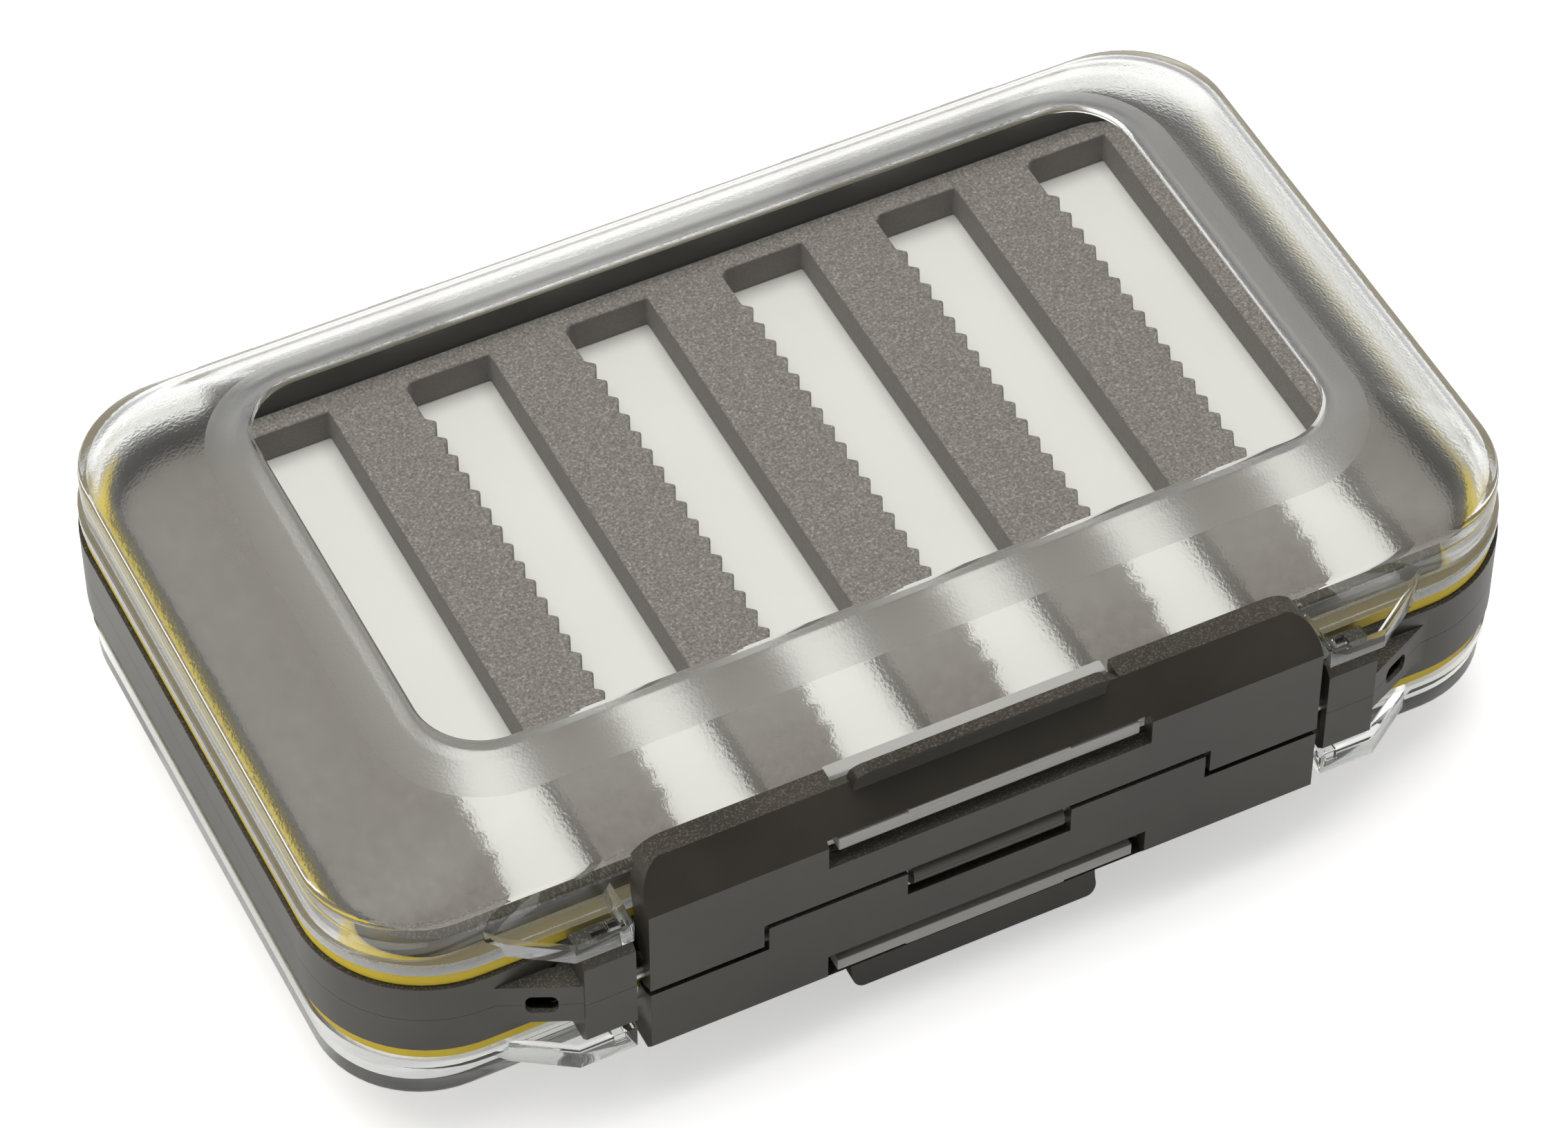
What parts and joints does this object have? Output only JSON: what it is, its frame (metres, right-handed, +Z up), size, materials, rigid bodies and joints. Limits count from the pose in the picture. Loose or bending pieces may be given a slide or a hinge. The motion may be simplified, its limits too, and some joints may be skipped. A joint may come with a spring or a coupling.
{
  "type": "fly box",
  "caption": "Clear-lidded double-sided box with slotted foam on both sides of a ring frame, seals, hinged lids and wide front latches on a shared pin.",
  "frame": {"origin": "middle of the lower lid's flat window, on which the box lies", "axes": "+X along the long side, -Y towards the latches, +Y towards the hinges, +Z up"},
  "size_m": [0.1486, 0.0999, 0.0469],
  "materials": {
    "frame": "moulded charcoal plastic, satin",
    "seal": "soft yellow rubber",
    "foam": "closed-cell foam, fine speckle",
    "backing": "white sheet",
    "clear_lid": "clear moulded plastic, polished window",
    "latch": "moulded charcoal plastic, satin",
    "steel_pin": "plain steel wire"
  },
  "bodies": {
    "frame": {"upper_frame": "frame", "lower_frame": "frame", "upper_seal": "seal", "lower_seal": "seal", "upper_foam": "foam", "lower_foam": "foam", "upper_backing": "backing", "lower_backing": "backing", "latch_pin": "steel_pin", "upper_hinge_pin_left": "steel_pin", "upper_hinge_pin_right": "steel_pin", "lower_hinge_pin_left": "steel_pin", "lower_hinge_pin_right": "steel_pin"},
    "upper_lid": {"upper_lid": "clear_lid"},
    "lower_lid": {"lower_lid": "clear_lid"},
    "upper_latch": {"upper_latch": "latch"},
    "lower_latch": {"lower_latch": "latch"}
  },
  "joints": [
    {"name": "upper_lid_hinge", "type": "hinge", "parent": "frame", "child": "upper_lid", "pos_m": [0, 0.0476, 0.0299], "axis": [-1, 0, 0], "range_deg": [0, 140]},
    {"name": "lower_lid_hinge", "type": "hinge", "parent": "frame", "child": "lower_lid", "pos_m": [0, 0.0476, 0.017], "axis": [1, 0, 0], "range_deg": [0, 140]},
    {"name": "upper_latch_pivot", "type": "hinge", "parent": "frame", "child": "upper_latch", "pos_m": [0, -0.0479, 0.02345], "axis": [1, 0, 0], "range_deg": [0, 44]},
    {"name": "lower_latch_pivot", "type": "hinge", "parent": "frame", "child": "lower_latch", "pos_m": [0, -0.0479, 0.02345], "axis": [-1, 0, 0], "range_deg": [0, 44]}
  ]
}
